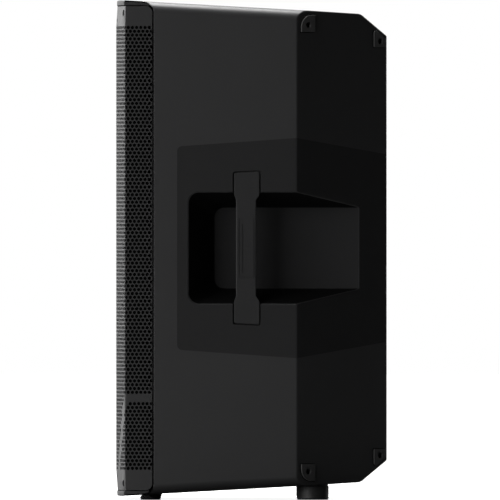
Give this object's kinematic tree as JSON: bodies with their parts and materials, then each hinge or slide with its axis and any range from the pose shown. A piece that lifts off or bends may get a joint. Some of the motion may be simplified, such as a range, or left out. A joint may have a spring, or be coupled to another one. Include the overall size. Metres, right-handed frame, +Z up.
{
  "type": "portable powered loudspeaker",
  "caption": "Portable two-way powered loudspeaker: tapered moulded cabinet with raked sides, steel grille, woofer, horn, side handles and rear amplifier panel.",
  "frame": {"origin": "on the floor, at the bottom centre of the box round the whole loudspeaker", "axes": "+X runs across the cabinet, towards the viewer's right when its front is looked at; -Y is the front; +Z is up"},
  "size_m": [0.384, 0.3696, 0.6818],
  "materials": {
    "cabinet_plastic": "fine moulded texture, semi-matt black polypropylene",
    "handle_rubber": "soft matt black over-moulded rubber",
    "dark_plastic": "matt black moulded plastic",
    "foam": "open-cell black foam",
    "grille_steel": "semi-gloss black powder coat on perforated steel",
    "foot_rubber": "matt black rubber",
    "cone_paper": "pressed black paper pulp",
    "coil_metal": "enamelled copper winding on an aluminium former",
    "spider_cloth": "resin-dipped woven cotton",
    "bright_steel": "zinc-plated, satin",
    "ferrite": "ground grey-black ferrite",
    "panel_aluminium": "black anodised, fine satin",
    "circuit_board": "green solder resist",
    "display_gloss": "smooth gloss black window",
    "knob_plastic": "fine matt moulded plastic",
    "wire_insulation": "smooth insulation",
    "insert_metal": "black-zinc plated steel, satin"
  },
  "bodies": {
    "cabinet": {"amp_circuit_board": "circuit_board", "amp_heatsink": "panel_aluminium", "amp_panel": "panel_aluminium", "amp_panel_gasket": "foam", "baffle_gasket": "foam", "bumper_left_front_lower": "foot_rubber", "bumper_left_front_upper": "foot_rubber", "bumper_left_rear_lower": "foot_rubber", "bumper_left_rear_upper": "foot_rubber", "bumper_right_front_lower": "foot_rubber", "bumper_right_front_upper": "foot_rubber", "bumper_right_rear_lower": "foot_rubber", "bumper_right_rear_upper": "foot_rubber", "cabinet_shell": "cabinet_plastic", "combo_jack_1": "dark_plastic", "combo_jack_2": "dark_plastic", "display_window": "display_gloss", "driver_magnet_housing": "ferrite", "driver_rear_cap": "dark_plastic", "driver_seal": "foam", "foot_front_left": "foot_rubber", "foot_front_right": "foot_rubber", "foot_rear_left": "foot_rubber", "foot_rear_right": "foot_rubber", "front_baffle": "cabinet_plastic", "front_grille": "grille_steel", "grille_foam": "foam", "horn_waveguide": "dark_plastic", "link_output": "dark_plastic", "mains_inlet": "dark_plastic", "pole_cup": "dark_plastic", "port_tube_left": "dark_plastic", "port_tube_right": "dark_plastic", "power_supply_board": "circuit_board", "rigging_insert_rear": "insert_metal", "rigging_insert_top_left": "insert_metal", "rigging_insert_top_right": "insert_metal", "rocker_frame": "dark_plastic", "side_handle_left": "handle_rubber", "side_handle_right": "handle_rubber", "tweeter_lead": "wire_insulation", "woofer_back_plate": "bright_steel", "woofer_basket": "grille_steel", "woofer_lead": "wire_insulation", "woofer_magnet": "ferrite", "woofer_spider": "spider_cloth", "woofer_surround": "foot_rubber", "woofer_top_plate": "bright_steel", "woofer_trim_ring": "foot_rubber"},
    "woofer_motion": {"woofer_cone": "cone_paper", "woofer_dust_cap": "cone_paper", "woofer_voice_coil": "coil_metal"},
    "encoder": {"encoder_knob": "knob_plastic"},
    "level_1": {"level_knob_1": "knob_plastic"},
    "level_2": {"level_knob_2": "knob_plastic"},
    "button_1": {"push_button_1": "knob_plastic"},
    "button_2": {"push_button_2": "knob_plastic"},
    "latch_1": {"combo_latch_1": "bright_steel"},
    "latch_2": {"combo_latch_2": "bright_steel"},
    "rocker": {"power_rocker": "knob_plastic"}
  },
  "joints": [
    {"name": "woofer_travel", "type": "slide", "parent": "cabinet", "child": "woofer_motion", "axis": [0, -1, 0], "range_m": [-0.006, 0.006], "stiffness_N_per_m": 4500, "deforming": ["woofer_surround", "woofer_spider"]},
    {"name": "encoder_turn", "type": "hinge", "parent": "cabinet", "child": "encoder", "pos_m": [-0.046, 0.175, 0.556], "axis": [0, 1, 0], "continuous": true},
    {"name": "level_1_turn", "type": "hinge", "parent": "cabinet", "child": "level_1", "pos_m": [0.038, 0.175, 0.5], "axis": [0, 1, 0], "range_deg": [-150, 150]},
    {"name": "level_2_turn", "type": "hinge", "parent": "cabinet", "child": "level_2", "pos_m": [-0.038, 0.175, 0.5], "axis": [0, 1, 0], "range_deg": [-150, 150]},
    {"name": "button_1_press", "type": "slide", "parent": "cabinet", "child": "button_1", "axis": [0, -1, 0], "range_m": [0, 0.0012], "stiffness_N_per_m": 400, "springref_m": -0.001},
    {"name": "button_2_press", "type": "slide", "parent": "cabinet", "child": "button_2", "axis": [0, -1, 0], "range_m": [0, 0.0012], "stiffness_N_per_m": 400, "springref_m": -0.001},
    {"name": "latch_1_press", "type": "slide", "parent": "cabinet", "child": "latch_1", "axis": [0, -1, 0], "range_m": [0, 0.0012], "stiffness_N_per_m": 400, "springref_m": -0.001},
    {"name": "latch_2_press", "type": "slide", "parent": "cabinet", "child": "latch_2", "axis": [0, -1, 0], "range_m": [0, 0.0012], "stiffness_N_per_m": 400, "springref_m": -0.001},
    {"name": "power_switch", "type": "hinge", "parent": "cabinet", "child": "rocker", "pos_m": [0.038, 0.167, 0.134], "axis": [1, 0, 0], "range_deg": [0, 16]}
  ]
}
